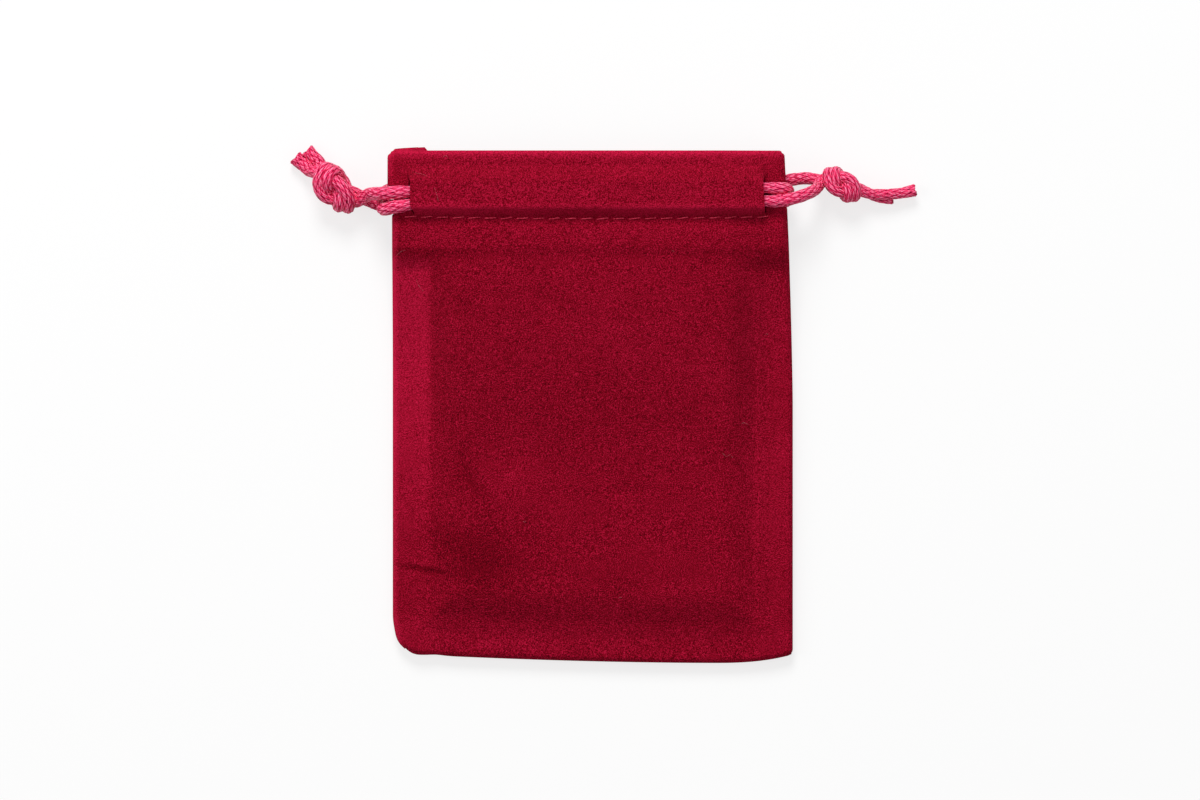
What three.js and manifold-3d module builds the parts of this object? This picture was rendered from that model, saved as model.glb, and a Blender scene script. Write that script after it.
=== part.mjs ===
// A flat velvet drawstring pouch, lying on its back panel with the mouth towards +Y.
// Millimetres, +Z up. The origin is at the middle of the pouch's base, cords left out.
import * as THREE from 'three';
import Module from 'manifold-3d';
import { mergeVertices } from 'three/addons/utils/BufferGeometryUtils.js';

const wasm = await Module();
wasm.setup();

// Driving sizes of the pouch
const overallWidth = 71.1;
const bodyDepth = 78.1;
const casingDepth = 11.7;
const backRise = 0.7;
const cloth = 0.55;
const plyGap = 0.1;
const panelGap = 0.3;
const seamAllowance = 6.5;
const hemAllowance = 5.5;
const interiorHeight = 4.4;
const mouthHeight = 4.3;
const topLoft = 0.5;
const frontEdgeRound = [3.5, 12.5];
const backEdgeRound = [2, 9];
const casingRiseStart = 27;
const crownRiseStart = 30;

// How the outline departs from a rectangle
const leftStep = 0.8;
const rightLean = 1.6;
const loopDent = 0.9;
const lowestX = 22;
const leftLift = 1.65;
const rightLift = 1.5;
const leftCornerRadius = 4.2;
const rightCornerRadius = 0.9;

// Drawcords, and the slits that they run through
const cordDiameter = 2;
const cordClearance = 0.25;
const slitInset = 3.9;
const slitStart = 0.45;
const slitLength = 6.4;
const slitRamp = 0.55;
const slitCutWidth = 2.6;
const slitCutMargin = 0.2;

// Sewing thread
const threadRadius = 0.18;
const threadGap = 0.38;
const stitchPitch = 2.8;
const stitchRise = 0.14;
const stitchLineInset = 2.6;
const stitchGroove = 1.1;
const seamThreadRadius = 0.12;
const seamThreadInset = 0.12;

// Places that follow from them
const pitch = cloth + plyGap;
const outerFace = pitch / 2 + cloth / 2;
const innerFace = pitch / 2 - cloth / 2;
const halfLength = (bodyDepth + casingDepth + backRise) / 2;
const bottomY = -halfLength;
const stitchY = bottomY + bodyDepth;
const hemEdgeY = stitchY - hemAllowance;
const slitLow = stitchY + slitStart;
const slitHigh = slitLow + slitLength;
const channelHeight = cordDiameter + 2 * cordClearance;
const channelLift = channelHeight - plyGap;
const backCordZ = cloth + channelHeight / 2;
const backHemTop = cloth + channelHeight + cloth;
const frontHemBottom = backHemTop + mouthHeight;
const frontCordZ = frontHemBottom + cloth + channelHeight / 2;
const bodySeamZ = 2 * cloth + plyGap + panelGap / 2;
const casingSeamZ = (backCordZ + frontCordZ) / 2;
const foldReach = 0.9;
const topCornerY = stitchY + casingDepth;

const clamp01 = (t) => Math.min(1, Math.max(0, t));
const smooth = (low, high, value) => {
  const t = clamp01((value - low) / (high - low));
  return t * t * (3 - 2 * t);
};
const mix = (a, b, t) => a + (b - a) * t;

// One inside the band of the slits along Y, and nought outside it
const slitBand = (y) => smooth(slitLow - 0.4, slitLow, y) * (1 - smooth(slitHigh, slitHigh + 0.8, y));

// The four edges of the flat outline, with square corners
const leftEdge = (y) =>
  -overallWidth / 2 + leftStep * (1 - smooth(stitchY - 2.2, stitchY - 0.6, y)) + loopDent * slitBand(y);
const rightEdge = (y) =>
  overallWidth / 2 - rightLean * Math.pow(clamp01(y / topCornerY), 1.5) - loopDent * slitBand(y);
const bottomEdge = (x) => {
  const reach = x < lowestX ? lowestX + overallWidth / 2 : overallWidth / 2 - lowestX;
  const away = clamp01(Math.abs(x - lowestX) / reach);
  return bottomY + (x < lowestX ? leftLift * Math.pow(away, 1.8) : rightLift * Math.pow(away, 2.5));
};

// Rounds the two bottom corners of the outline, and all that lies inside it there
const cornerCentres = [
  { x: leftEdge(bottomY) + leftCornerRadius, side: -1, radius: leftCornerRadius },
  { x: rightEdge(bottomY) - rightCornerRadius, side: 1, radius: rightCornerRadius },
].map((corner) => ({ ...corner, y: bottomEdge(corner.x) + corner.radius }));
const roundCorner = (x, y) => {
  for (const corner of cornerCentres) {
    const dx = (x - corner.x) * corner.side;
    const dy = corner.y - y;
    if (dx > 0 && dy > 0) {
      const shrink = Math.max(dx, dy) / Math.hypot(dx, dy);
      return [corner.x + dx * shrink * corner.side, corner.y - dy * shrink];
    }
  }
  return [x, y];
};

// The height of the seam between the panels, low at the body and high at the casing
const seamZ = (y) => mix(bodySeamZ, casingSeamZ, smooth(stitchY - casingRiseStart, stitchY, y));

// The side folds are fat where they hold the ends of the hem
const foldRadius = (y) => pitch * smooth(hemEdgeY - 4, hemEdgeY - 0.5, y);

// How far the outer ply stands off the hem, over the cords and at the top fold
const channelBump = (y) =>
  smooth(stitchY + 0.3, slitLow + 0.5, y) * (1 - smooth(slitHigh - 0.5, topCornerY - 1.5, y));
const sideDistance = (x, y) => Math.min(x - leftEdge(y), rightEdge(y) - x);
const inboard = (x, y) => {
  const slitAt = slitInset - loopDent * slitBand(y);
  return smooth(slitAt - slitRamp, slitAt + slitRamp, sideDistance(x, y));
};
const standoff = (y) =>
  Math.max(channelLift * channelBump(y), topLoft * smooth(slitHigh, topCornerY - 2, y));
const lift = (x, y) => standoff(y) * inboard(x, y);

// The middle level of a panel's plies: side is 1 for the front and -1 for the back
const groove = (y) => stitchGroove * (1 - smooth(0, 1.6, Math.abs(y - stitchY)));
const crown = (y) => {
  const low = cloth + interiorHeight - innerFace;
  const high = frontHemBottom + outerFace;
  return mix(low, high, smooth(bottomY + crownRiseStart, hemEdgeY, y));
};
const level = (side, x, y) => {
  const edge = seamZ(y) + side * (panelGap / 2 + outerFace + 2 * foldRadius(y));
  const middle = side > 0 ? crown(y) : outerFace + standoff(y) + groove(y);
  const distance = Math.min(sideDistance(x, y), y - bottomEdge(x));
  const soft = smooth(...(side > 0 ? frontEdgeRound : backEdgeRound), distance);
  const sharp = inboard(x, y);
  return mix(edge, middle, mix(soft, sharp, slitBand(y)));
};

// Closes a sheet of cloth between two grids of points that lie face to face
function closedSheet(outside, inside) {
  const columns = outside.length;
  const rows = outside[0].length;
  const points = [];
  const faces = [];
  for (const grid of [outside, inside]) {
    for (const column of grid) {
      points.push(...column);
    }
  }
  const at = (face, column, row) => face * columns * rows + column * rows + row;
  const quad = (a, b, c, d) => {
    faces.push(a, b, c, a, c, d);
  };
  for (let c = 0; c < columns - 1; c += 1) {
    for (let r = 0; r < rows - 1; r += 1) {
      quad(at(0, c, r), at(0, c + 1, r), at(0, c + 1, r + 1), at(0, c, r + 1));
      quad(at(1, c, r), at(1, c, r + 1), at(1, c + 1, r + 1), at(1, c + 1, r));
    }
    quad(at(0, c + 1, 0), at(0, c, 0), at(1, c, 0), at(1, c + 1, 0));
    quad(at(0, c, rows - 1), at(0, c + 1, rows - 1), at(1, c + 1, rows - 1), at(1, c, rows - 1));
  }
  for (let r = 0; r < rows - 1; r += 1) {
    quad(at(0, 0, r), at(0, 0, r + 1), at(1, 0, r + 1), at(1, 0, r));
    quad(at(0, columns - 1, r + 1), at(0, columns - 1, r), at(1, columns - 1, r), at(1, columns - 1, r + 1));
  }
  const geometry = new THREE.BufferGeometry();
  geometry.setAttribute('position', new THREE.Float32BufferAttribute(points.flat(), 3));
  geometry.setIndex(faces);
  return signedVolume(geometry) < 0 ? turnedOut(geometry) : geometry;
}

function signedVolume(geometry) {
  const position = geometry.attributes.position;
  const index = geometry.index.array;
  const [a, b, c] = [new THREE.Vector3(), new THREE.Vector3(), new THREE.Vector3()];
  let volume = 0;
  for (let i = 0; i < index.length; i += 3) {
    a.fromBufferAttribute(position, index[i]);
    b.fromBufferAttribute(position, index[i + 1]);
    c.fromBufferAttribute(position, index[i + 2]);
    volume += a.dot(b.cross(c)) / 6;
  }
  return volume;
}

function turnedOut(geometry) {
  const index = Array.from(geometry.index.array);
  for (let i = 0; i < index.length; i += 3) {
    [index[i + 1], index[i + 2]] = [index[i + 2], index[i + 1]];
  }
  geometry.setIndex(index);
  return geometry;
}

// Solids for joining and cutting, and back again
function asSolid(source) {
  const bare = source.clone();
  bare.deleteAttribute('normal');
  bare.deleteAttribute('uv');
  const merged = mergeVertices(bare, 1e-5);
  return new wasm.Manifold(
    new wasm.Mesh({
      numProp: 3,
      vertProperties: new Float32Array(merged.attributes.position.array),
      triVerts: new Uint32Array(merged.index.array),
    }),
  );
}

function asGeometry(solid) {
  const mesh = solid.getMesh();
  const geometry = new THREE.BufferGeometry();
  geometry.setAttribute('position', new THREE.BufferAttribute(new Float32Array(mesh.vertProperties), 3));
  geometry.setIndex(Array.from(mesh.triVerts));
  geometry.computeVertexNormals();
  return geometry;
}

// Columns across a panel: left seam allowance, left fold, the face, right fold, right allowance
const foldAngles = [45, 90, 135, 180];
const nearEdge = [0, 0.9, 1.75, 2.3, 2.9, seamAllowance - outerFace, 9.2, 13.2];
const middleFractions = [0.25, 0.5, 0.75];
function panelColumns() {
  const half = [{ depth: seamAllowance - outerFace, angle: 180 }, { depth: 2.6, angle: 180 }];
  for (const angle of [...foldAngles].reverse()) {
    half.push({ depth: 0, angle });
  }
  for (const inset of nearEdge) {
    half.push({ inset, angle: 0 });
  }
  const left = half.map((column) => ({ ...column, side: -1 }));
  const right = half.map((column) => ({ ...column, side: 1 })).reverse();
  return [...left, ...middleFractions.map((fraction) => ({ fraction, angle: 0 })), ...right];
}

// The place and the outward direction of a panel's middle level at one column and one Y
function across(side, column, y) {
  const radius = foldRadius(y);
  const foldInset = radius + outerFace;
  const leftFold = leftEdge(y) + foldInset;
  const rightFold = rightEdge(y) - foldInset;
  if (column.fraction !== undefined) {
    const reach = nearEdge[nearEdge.length - 1];
    const x = mix(leftFold + reach, rightFold - reach, column.fraction);
    return { x, z: level(side, x, y), nx: 0, nz: side };
  }
  const start = column.side < 0 ? leftFold : rightFold;
  if (column.angle === 0) {
    const x = start - column.side * column.inset;
    return { x, z: level(side, x, y), nx: 0, nz: side };
  }
  const turn = THREE.MathUtils.degToRad(column.angle);
  const nx = column.side * Math.sin(turn);
  const nz = side * Math.cos(turn);
  const x = start - column.side * column.depth;
  const centreZ = level(side, x, y) - side * radius;
  return { x: x + nx * radius, z: centreZ + nz * radius, nx: column.angle === 180 ? 0 : nx, nz };
}

// Rows along a panel: up the face, over the top fold and down the hem to its raw edge
const slopeStep = 0.3;
const bodyFractions = [0, 0.02, 0.05, 0.085, 0.18, 0.32, 0.46, 0.6, 0.74, 0.86, 0.94, 1];
const casingRows = [-2.4, -1, 0, 0.4, 0.95, 3.5, 6.3, 7.6, 9.2];
const hemRows = [9.2, 7.6, 6.3, 3.5, 0.95, 0.4, -1, -2.4];
const topFoldAngles = [30, 90, 150];
function panelRows(side, column) {
  const topY = topCornerY + (side < 0 ? backRise : 0);
  const nominal = across(side, column, (bottomY + hemEdgeY) / 2);
  const mitre = column.depth > 0 ? column.depth + panelGap : 0;
  const lowEnd = bottomEdge(nominal.x) + outerFace - plyGap / 2 + mitre;
  const faceRows = bodyFractions.map((fraction) => mix(lowEnd, hemEdgeY, fraction));
  for (const row of casingRows) {
    faceRows.push(stitchY + row);
  }
  const foldY = topY - foldReach;
  faceRows.push(foldY);
  const rows = faceRows.map((y) => ({ y, outside: outerFace, inside: innerFace, raised: true }));
  for (const angle of topFoldAngles) {
    rows.push({ y: foldY, turn: THREE.MathUtils.degToRad(angle), raised: true });
  }
  for (const y of [foldY, ...hemRows.map((row) => stitchY + row), hemEdgeY]) {
    rows.push({ y, outside: -outerFace, inside: -innerFace, raised: false });
  }
  return rows;
}

function panelPoint(side, column, row, face) {
  const place = across(side, column, row.y);
  const raised = row.raised && column.angle === 0;
  const raise = raised ? lift(place.x, row.y) : 0;
  let offset = row[face] + raise;
  let y = row.y;
  if (face === 'inside' && row.turn === undefined && column.angle === 0) {
    const height = (at) => side * level(side, place.x, at) + (raised ? lift(place.x, at) : 0);
    const slope = Math.atan2(height(y + slopeStep) - height(y - slopeStep), 2 * slopeStep);
    const inward = row.raised ? cloth : -cloth;
    y += inward * Math.sin(slope);
    offset = row.outside + raise - inward * Math.cos(slope);
  }
  if (row.turn !== undefined) {
    const thin = face === 'inside' ? cloth : 0;
    const halfHeight = (2 * outerFace + raise) / 2 - thin;
    offset = raise / 2 + halfHeight * Math.cos(row.turn);
    y = row.y + (foldReach - thin) * Math.sin(row.turn);
  }
  const [x, roundedY] = roundCorner(place.x + place.nx * offset, y);
  return [x, roundedY, place.z + place.nz * offset];
}

// The seam allowance along the bottom, turned in and mitred at both ends
const bottomSteps = [0.7, 1.5, 3, 5, seamAllowance + 1, 11, 18, 26];
function bottomAllowance(side) {
  const left = leftEdge(bottomY);
  const right = rightEdge(bottomY);
  const stations = [...bottomSteps.map((step) => left + step), (left + right) / 2];
  stations.push(...[...bottomSteps].reverse().map((step) => right - step));
  const grids = { outside: [], inside: [] };
  for (const x of stations) {
    const base = bottomEdge(x);
    const depth = Math.min(seamAllowance, Math.min(x - left, right - x) + outerFace);
    const rows = [{ y: base + 3 * outerFace, outside: 0.55, inside: 0.2 }];
    rows.push({ y: base + outerFace, outside: outerFace, inside: innerFace });
    for (const angle of [45, 90, 135]) {
      rows.push({ y: base + outerFace, turn: THREE.MathUtils.degToRad(angle) });
    }
    rows.push({ y: base + outerFace, outside: -outerFace, inside: -innerFace });
    rows.push({ y: base + Math.max(depth, 2 * outerFace), outside: -outerFace, inside: -innerFace });
    for (const face of ['outside', 'inside']) {
      grids[face].push(
        rows.map((row) => {
          const radius = face === 'outside' ? outerFace : innerFace;
          const offset = row.turn === undefined ? row[face] : radius * Math.cos(row.turn);
          const y = row.turn === undefined ? row.y : row.y - radius * Math.sin(row.turn);
          const [px, py] = roundCorner(x, y);
          return [px, py, level(side, x, Math.max(y, base)) + side * offset];
        }),
      );
    }
  }
  return closedSheet(grids.outside, grids.inside);
}

// The two slits in a panel's outer ply, cut through the step that the cloth makes there
function slitCuts(side) {
  const middleY = (slitLow + slitHigh) / 2;
  const cordZ = side > 0 ? frontCordZ : backCordZ;
  return [-1, 1].map((end) => {
    const edge = end < 0 ? leftEdge(middleY) : rightEdge(middleY);
    const box = new THREE.BoxGeometry(slitCutWidth, slitLength - 2 * slitCutMargin, channelHeight - plyGap);
    box.translate(edge - end * (slitInset - loopDent), middleY, cordZ);
    return asSolid(box);
  });
}

// Slivers thinner than this are closed up after the joins and cuts
const sliverSize = 0.02;

// One panel: a single cut piece of velvet with its hem and its seam allowances turned in
function panelGeometry(side) {
  const columns = panelColumns();
  const grid = (face) =>
    columns.map((column) => panelRows(side, column).map((row) => panelPoint(side, column, row, face)));
  let panel = asSolid(closedSheet(grid('outside'), grid('inside')));
  panel = panel.add(asSolid(bottomAllowance(side)));
  for (const cut of slitCuts(side)) {
    panel = panel.subtract(cut);
  }
  return asGeometry(panel.simplify(sliverSize));
}

// A round bar along a curve
function tubeGeometry(points, radius, steps, sides) {
  const section = new THREE.Shape();
  for (let i = 0; i <= sides; i += 1) {
    const turn = (2 * Math.PI * i) / sides;
    const [x, y] = [radius * Math.cos(turn), radius * Math.sin(turn)];
    if (i === 0) {
      section.moveTo(x, y);
    } else if (i < sides) {
      section.lineTo(x, y);
    }
  }
  const path = new THREE.CatmullRomCurve3(points.map((point) => new THREE.Vector3(...point)));
  return new THREE.ExtrudeGeometry(section, { steps, bevelEnabled: false, extrudePath: path });
}

// The row of stitches that holds a panel's hem, lying in its groove
function casingStitching(side) {
  const start = leftEdge(stitchY) + stitchLineInset;
  const end = rightEdge(stitchY) - stitchLineInset;
  const count = Math.floor((end - start) / stitchPitch);
  const points = [];
  for (let i = 0; i <= 2 * count; i += 1) {
    const x = start + (i * stitchPitch) / 2;
    const away = outerFace + threadGap + threadRadius + (i % 2) * stitchRise;
    points.push([x, stitchY, level(side, x, stitchY) + side * away]);
  }
  return tubeGeometry(points, threadRadius, 4 * count, 5);
}

// The thread of the seam round the sides and the bottom, in the groove between the two folds
const seamRows = [
  topCornerY - 1.5, slitHigh + 1.2, slitHigh - 0.6, (slitLow + slitHigh) / 2, slitLow + 0.4, stitchY - 0.4,
  stitchY - 2.6, hemEdgeY, stitchY - 14, stitchY - 22, stitchY - 34, bottomY + 30, bottomY + 18, bottomY + 10,
  bottomY + 7,
];
const seamStations = [0.1, 0.25, 0.42, 0.6, 0.76, 0.88, 0.95];
function seamThread() {
  const place = (x, y) => {
    const [px, py] = roundCorner(x, y);
    return [px, py, seamZ(y)];
  };
  const left = (y) => leftEdge(y) + seamThreadInset;
  const right = (y) => rightEdge(y) - seamThreadInset;
  const bottom = (x) => place(x, bottomEdge(x) + seamThreadInset);
  const points = seamRows.map((y) => place(left(y), y));
  points.push(bottom(left(bottomY)));
  points.push(...seamStations.map((t) => bottom(mix(left(bottomY), right(bottomY), t))));
  points.push(bottom(right(bottomY)));
  points.push(...[...seamRows].reverse().map((y) => place(right(y), y)));
  return tubeGeometry(points, seamThreadRadius, 100, 5);
}

// Each drawcord's route, from its knot through the front casing, round the far side edge,
// back through the rear casing and into the knot again
const leftDrawcordRoute = [
  [-40.7, 37, 4.9], [-39.6, 37.2, 6.8], [-38.2, 37.4, 8.7], [-36.2, 37.5, 9.65], [-33, 37.5, 9.7],
  [-28, 37.6, 9.7], [-14, 37.75, 9.7], [0, 37.9, 9.7], [14, 38.05, 9.7], [28, 38.2, 9.7],
  [32.3, 38.3, 9.65], [34.2, 38.3, 8.9], [35, 38, 7.2], [35.1, 37.3, 5.5], [35.1, 36.4, 3.8],
  [34.4, 35.8, 2.4], [32.3, 35.7, 1.8], [28, 35.7, 1.8], [14, 35.55, 1.8], [0, 35.4, 1.8],
  [-14, 35.25, 1.8], [-28, 35.1, 1.8], [-33, 35, 1.8], [-36.5, 35.1, 1.7], [-39, 35.7, 1.5],
  [-40.9, 36.3, 1.5],
];
const rightDrawcordRoute = [
  [41, 38.6, 4.9], [39.8, 37.7, 6.9], [38, 36.8, 8.7], [35.8, 36.1, 9.6], [33, 35.75, 9.7],
  [28, 35.7, 9.7], [14, 35.55, 9.7], [0, 35.4, 9.7], [-14, 35.25, 9.7], [-28, 35.1, 9.7],
  [-33.3, 34.9, 9.7], [-35.5, 34.7, 9.1], [-36.25, 35, 7.5], [-36.25, 35.7, 5.75], [-36.25, 36.6, 4],
  [-35.5, 37.5, 2.4], [-33.3, 37.6, 1.8], [-28, 37.6, 1.8], [-14, 37.75, 1.8], [0, 37.9, 1.8],
  [14, 38.05, 1.8], [28, 38.1, 1.8], [32, 38.3, 1.8], [35, 39, 1.7], [38.2, 39.9, 1.5],
  [40.7, 40, 1.5],
];
const cordSteps = 80;
const drawcord = (route) => tubeGeometry(route, cordDiameter / 2, cordSteps, 8);

// A knot as the outer shape of its wraps, with the cord's two tails
function ellipsoid(centre, halves, turn) {
  const ball = new THREE.SphereGeometry(1, 14, 10);
  ball.scale(...halves);
  ball.rotateZ(turn);
  ball.translate(...centre);
  return asSolid(ball);
}

function knotGeometry(lumps, tails) {
  let knot = null;
  for (const lump of lumps) {
    const solid = ellipsoid(lump.centre, lump.halves, lump.turn);
    knot = knot === null ? solid : knot.add(solid);
  }
  for (const tail of tails) {
    knot = knot.add(asSolid(tubeGeometry(tail, cordDiameter / 2, 8, 8)));
  }
  return asGeometry(knot);
}

const leftKnotLumps = [
  { centre: [-44.9, 39.3, 2.7], halves: [4.5, 2.5, 2.7], turn: -0.75 },
  { centre: [-44.3, 36.4, 2.3], halves: [3.1, 2.1, 2.3], turn: 0.1 },
  { centre: [-46.6, 38.6, 2.3], halves: [2.2, 3.2, 2.3], turn: -0.3 },
];
const leftTails = [
  [[-46.4, 39.4, 2], [-48.2, 41.2, 1.6], [-50.1, 43.3, 1.3], [-51.6, 44.6, 1.2]],
  [[-46, 40.3, 3], [-47.4, 42.2, 2.4], [-48.4, 43.8, 1.8], [-49.3, 45, 1.4]],
];
const rightKnotLumps = [
  { centre: [44.2, 38.9, 2.6], halves: [3.3, 2.9, 2.6], turn: -0.5 },
  { centre: [45, 38, 2.3], halves: [2.6, 2.2, 2.3], turn: 0.3 },
];
const rightTails = [
  [[45.8, 38, 3.1], [48.4, 37.4, 2.9], [51.4, 37.1, 3.1], [54.2, 37.2, 3.2], [56.7, 37.8, 3.2]],
  [[45.8, 37.7, 1.3], [48, 37.1, 1.1], [50.2, 36.7, 1.1], [52, 36.9, 1.1]],
];

// Materials
const velvet = new THREE.MeshStandardMaterial({ color: 0x8c0a21, roughness: 0.95, metalness: 0 });
const satinCord = new THREE.MeshStandardMaterial({ color: 0xd8406a, roughness: 0.45, metalness: 0 });
const thread = new THREE.MeshStandardMaterial({ color: 0xb82a48, roughness: 0.7, metalness: 0 });

const pieces = [
  ['front_panel', panelGeometry(1), velvet],
  ['back_panel', panelGeometry(-1), velvet],
  ['front_casing_stitching', casingStitching(1), thread],
  ['back_casing_stitching', casingStitching(-1), thread],
  ['side_and_bottom_seam_thread', seamThread(), thread],
  ['left_drawcord', drawcord(leftDrawcordRoute), satinCord],
  ['left_drawcord_knot', knotGeometry(leftKnotLumps, leftTails), satinCord],
  ['right_drawcord', drawcord(rightDrawcordRoute), satinCord],
  ['right_drawcord_knot', knotGeometry(rightKnotLumps, rightTails), satinCord],
];

const pouch = new THREE.Group();
for (const [name, geometry, material] of pieces) {
  const mesh = new THREE.Mesh(geometry, material);
  mesh.name = name;
  pouch.add(mesh);
}

export default pouch;
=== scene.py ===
# A flat velvet drawstring pouch with two knotted satin cords, seen from straight above.
import math

import bpy
import numpy as np
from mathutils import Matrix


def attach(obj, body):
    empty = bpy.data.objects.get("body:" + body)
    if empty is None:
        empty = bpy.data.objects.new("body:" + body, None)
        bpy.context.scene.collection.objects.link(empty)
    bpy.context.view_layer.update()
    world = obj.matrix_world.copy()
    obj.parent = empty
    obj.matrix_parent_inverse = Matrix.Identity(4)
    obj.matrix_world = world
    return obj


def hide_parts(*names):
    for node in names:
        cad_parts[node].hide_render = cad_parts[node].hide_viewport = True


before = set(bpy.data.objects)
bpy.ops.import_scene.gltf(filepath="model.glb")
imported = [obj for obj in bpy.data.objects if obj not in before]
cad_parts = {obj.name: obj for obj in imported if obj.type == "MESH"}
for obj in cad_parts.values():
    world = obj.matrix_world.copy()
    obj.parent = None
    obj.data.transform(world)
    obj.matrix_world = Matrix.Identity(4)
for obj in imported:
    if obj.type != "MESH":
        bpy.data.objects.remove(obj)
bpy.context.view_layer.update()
mm = 0.001


# The camera looks straight down from high above, so the flat pouch shows no perspective.
view_width = 211.2 * mm
view_centre = (1.67 * mm, 0.97 * mm)
camera_height = 1.4
sensor_width = 36.0

bpy.ops.object.select_all(action="DESELECT")
bpy.ops.object.camera_add(location=(*view_centre, camera_height), rotation=(0, 0, 0))
camera = bpy.context.object
camera.name = "overhead_camera"
camera.data.sensor_width = sensor_width
camera.data.lens = sensor_width * camera_height / view_width
camera.data.clip_end = 10.0
bpy.context.scene.camera = camera


# Drawcords: each is one braided satin cord, 2.2 mm where it lies free and 1.8 mm where the casing
# squeezes it. It runs from its knot through the front casing, round the far side, back through
# the rear casing and into the knot again, and both strands are tied in one overhand knot.
squeezed_radius = 0.9
knot_cord_diameter = 1.6
path_step = 0.24
path_smoothings = 6
cord_sides = 64
braid_carriers = 8
braid_cell_length = 2.6
braid_relief = 0.17
braid_middle = 0.6
cut_end_flare = 0.2
cut_end_length = 1.2
cut_end_height = 0.2
frayed_length = 0.5
knot_step = 0.6
loose_loop = 1.75
loose_lift = 2.0
loose_points = 40
pull_step = 0.028
pull_steps = 640
settle_rounds = 6
bend_share = 0.1
push_share = 0.8
joined_neighbours = 4
knot_half_length = 4


def distance_along(path):
    """How far along a path each of its points lies."""
    return np.r_[0, np.cumsum(np.linalg.norm(np.diff(path, axis=0), axis=1))]


def resampled(points, step):
    """Evenly spaced points on the smooth curve through the given ones."""
    knots = np.asarray(points, float)
    ends = np.vstack([2 * knots[0] - knots[1], knots, 2 * knots[-1] - knots[-2]])
    a, b, c, d = ends[:-3, None], ends[1:-2, None], ends[2:-1, None], ends[3:, None]
    t = np.linspace(0, 1, 24, endpoint=False)[None, :, None]
    bent = (2 * a - 5 * b + 4 * c - d) * t**2
    twisted = (3 * b - a - 3 * c + d) * t**3
    curve = 0.5 * (2 * b + (c - a) * t + bent + twisted)
    curve = np.vstack([curve.reshape(-1, 3), knots[-1]])
    run = distance_along(curve)
    places = np.linspace(0, run[-1], int(round(run[-1] / step)) + 1)
    return np.stack([np.interp(places, run, curve[:, k]) for k in range(3)], axis=1)


def loose_knot():
    """The two strands side by side in a loose overhand knot, ends to the right and the left."""
    t = np.linspace(1.07 * math.pi, 2.93 * math.pi, loose_points)
    x = loose_loop * (np.sin(t) + 2 * np.sin(2 * t))
    y = loose_loop * (np.cos(t) - 2 * np.cos(2 * t))
    z = loose_lift * np.sin(3 * t)
    low = -3 * loose_loop
    lead = np.array([[11, low - 1.5, 0], [6.5, low - 1.8, 0], [2.8, low - 1.4, 0]])
    middle = np.vstack([lead, np.stack([x, y, z], axis=1), lead[::-1] * [-1, 1, 1]])
    middle = resampled(middle, knot_step)
    along = np.gradient(middle, axis=0)
    aside = np.stack([-along[:, 1], along[:, 0], np.zeros(len(along))], axis=1)
    aside *= 0.53 * knot_cord_diameter / np.linalg.norm(aside, axis=1)[:, None]
    return [resampled(middle + aside, knot_step), resampled(middle - aside, knot_step)]


def tightened(strands):
    """Pulls the ends of the strands apart, while they keep their length and push each other away."""
    counts = [len(strand) for strand in strands]
    first = np.r_[0, np.cumsum(counts)[:-1]]
    last = np.cumsum(counts) - 1
    place = np.vstack(strands)
    strand_of = np.repeat(np.arange(len(strands)), counts)
    index = np.concatenate([np.arange(count) for count in counts])
    held = np.zeros(len(place), bool)
    for a, b in zip(first, last):
        held[a:a + 3] = True
        held[b - 2:b + 1] = True
    one, two = np.triu_indices(len(place), 1)
    apart = (strand_of[one] != strand_of[two]) | (np.abs(index[one] - index[two]) > joined_neighbours)
    one, two = one[apart], two[apart]
    free = np.where(held, 0.0, 1.0)[:, None]
    for _ in range(pull_steps):
        for a, b in zip(first, last):
            place[a:a + 3, 0] += pull_step
            place[b - 2:b + 1, 0] -= pull_step
        for _ in range(settle_rounds):
            for a, b in zip(first, last):
                middle = (place[a:b - 1] + place[a + 2:b + 1]) / 2
                place[a + 1:b] += (middle - place[a + 1:b]) * bend_share * free[a + 1:b]
            for a, b in zip(first, last):
                for parity in (0, 1):
                    i = np.arange(a + parity, b, 2)
                    link = place[i + 1] - place[i]
                    length = np.linalg.norm(link, axis=1, keepdims=True)
                    both_free = np.maximum(free[i] + free[i + 1], 1e-9)
                    share = (length - knot_step) / length * link / both_free
                    place[i] += share * free[i]
                    place[i + 1] -= share * free[i + 1]
            link = place[two] - place[one]
            square = (link**2).sum(axis=1)
            near = square < knot_cord_diameter**2
            i, j = one[near], two[near]
            length = np.sqrt(square[near])[:, None]
            shift = link[near] / length * (knot_cord_diameter - length) * push_share / 2
            move = np.zeros_like(place)
            hits = np.zeros(len(place))
            np.add.at(move, i, -shift)
            np.add.at(move, j, shift)
            np.add.at(hits, i, 1)
            np.add.at(hits, j, 1)
            place += free * move / np.sqrt(np.maximum(hits, 1))[:, None]
    return [place[a:b + 1].copy() for a, b in zip(first, last)]


tight_strands = tightened(loose_knot())
knot_middle = np.vstack(tight_strands)
knot_middle = knot_middle[np.abs(knot_middle[:, 0]) < knot_half_length].mean(axis=0)


def placed_knot(roll, turn, scale, centre, radius, reach):
    """The tight knot rolled on its length, turned as seen from above, and laid on the table."""
    roll, turn = math.radians(roll), math.radians(turn)
    c, s = math.cos(roll), math.sin(roll)
    rolled = np.array([[1, 0, 0], [0, c, -s], [0, s, c]])
    c, s = math.cos(turn), math.sin(turn)
    turned = np.array([[c, -s, 0], [s, c, 0], [0, 0, 1]])
    placed = []
    for strand, half in zip(tight_strands, reach):
        local = strand - knot_middle
        local = local[np.abs(local[:, 0]) < half]
        placed.append(local @ (turned @ rolled).T * scale + np.array([*centre, 0.0]))
    lift = 1.1 * radius - np.vstack(placed)[:, 2].min()
    return [strand + [0, 0, lift] for strand in placed]


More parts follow.
